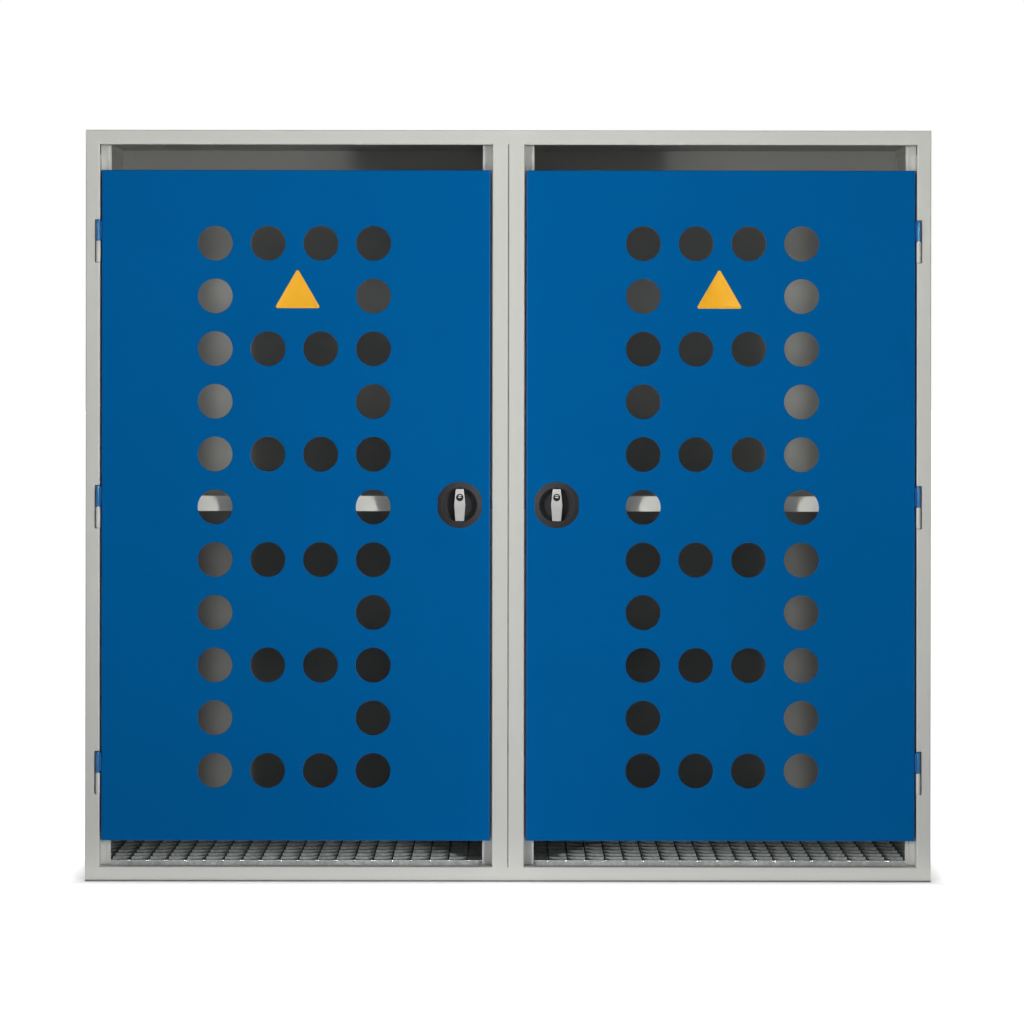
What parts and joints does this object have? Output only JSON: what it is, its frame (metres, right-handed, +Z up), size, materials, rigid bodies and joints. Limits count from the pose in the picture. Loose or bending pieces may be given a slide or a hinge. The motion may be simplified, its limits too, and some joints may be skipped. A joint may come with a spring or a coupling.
{
  "type": "gas cylinder cabinet",
  "caption": "Free-standing steel cabinet for gas cylinders: folded frame, perforated hinged doors with recessed swivel handles, mid shelves and grating floors.",
  "frame": {"origin": "centre of the footprint, on the floor", "axes": "+Z up, the doors face -Y, +X to the right as seen from the front"},
  "size_m": [1.604, 0.5066, 1.425],
  "materials": {
    "frame_paint": "light grey powder coat",
    "door_paint": "mid blue powder coat",
    "galvanised": "hot-dip galvanised",
    "black_plastic": "fine-grained moulding",
    "lever_metal": "satin nickel plate",
    "zinc_hardware": "bright zinc plate"
  },
  "bodies": {
    "cabinet": {"top_rail": "frame_paint", "bottom_rail": "frame_paint", "roof": "frame_paint", "back_panel": "frame_paint", "centre_wall": "frame_paint", "rear_base_rail": "galvanised", "centre_base_rail": "galvanised", "left_side_panel": "frame_paint", "left_upright": "frame_paint", "left_centre_post": "frame_paint", "left_rear_corner": "frame_paint", "left_side_base_rail": "galvanised", "left_floor_grating": "galvanised", "left_shelf": "frame_paint", "left_shelf_brackets": "frame_paint", "left_hinge_pins": "zinc_hardware", "left_strike": "zinc_hardware", "left_frame_hinge_bottom": "frame_paint", "left_frame_hinge_middle": "frame_paint", "left_frame_hinge_top": "frame_paint", "right_side_panel": "frame_paint", "right_upright": "frame_paint", "right_centre_post": "frame_paint", "right_rear_corner": "frame_paint", "right_side_base_rail": "galvanised", "right_floor_grating": "galvanised", "right_shelf": "frame_paint", "right_shelf_brackets": "frame_paint", "right_hinge_pins": "zinc_hardware", "right_strike": "zinc_hardware", "right_frame_hinge_bottom": "frame_paint", "right_frame_hinge_middle": "frame_paint", "right_frame_hinge_top": "frame_paint"},
    "left_door": {"left_door_panel": "door_paint", "left_door_hinge_bottom": "door_paint", "left_door_hinge_middle": "door_paint", "left_door_hinge_top": "door_paint", "left_lock_dish": "black_plastic", "left_lock_clamp": "zinc_hardware"},
    "left_handle": {"left_lever": "lever_metal", "left_spindle": "zinc_hardware", "left_cam": "zinc_hardware"},
    "left_key": {"left_key_plug": "zinc_hardware"},
    "right_door": {"right_door_panel": "door_paint", "right_door_hinge_bottom": "door_paint", "right_door_hinge_middle": "door_paint", "right_door_hinge_top": "door_paint", "right_lock_dish": "black_plastic", "right_lock_clamp": "zinc_hardware"},
    "right_handle": {"right_lever": "lever_metal", "right_spindle": "zinc_hardware", "right_cam": "zinc_hardware"},
    "right_key": {"right_key_plug": "zinc_hardware"}
  },
  "joints": [
    {"name": "left_door_hinge", "type": "hinge", "parent": "cabinet", "child": "left_door", "pos_m": [-0.7778, -0.24875, 0.71], "axis": [0, 0, -1], "range_deg": [0, 180]},
    {"name": "left_handle_turn", "type": "hinge", "parent": "left_door", "child": "left_handle", "pos_m": [-0.092, -0.24675, 0.714], "axis": [0, -1, 0], "range_deg": [0, 90]},
    {"name": "left_key_turn", "type": "hinge", "parent": "left_handle", "child": "left_key", "pos_m": [-0.092, -0.24675, 0.7283], "axis": [0, -1, 0], "range_deg": [0, 90]},
    {"name": "right_door_hinge", "type": "hinge", "parent": "cabinet", "child": "right_door", "pos_m": [0.7778, -0.24875, 0.71], "axis": [0, 0, 1], "range_deg": [0, 180]},
    {"name": "right_handle_turn", "type": "hinge", "parent": "right_door", "child": "right_handle", "pos_m": [0.092, -0.24675, 0.714], "axis": [0, 1, 0], "range_deg": [0, 90]},
    {"name": "right_key_turn", "type": "hinge", "parent": "right_handle", "child": "right_key", "pos_m": [0.092, -0.24675, 0.7283], "axis": [0, 1, 0], "range_deg": [0, 90]}
  ]
}
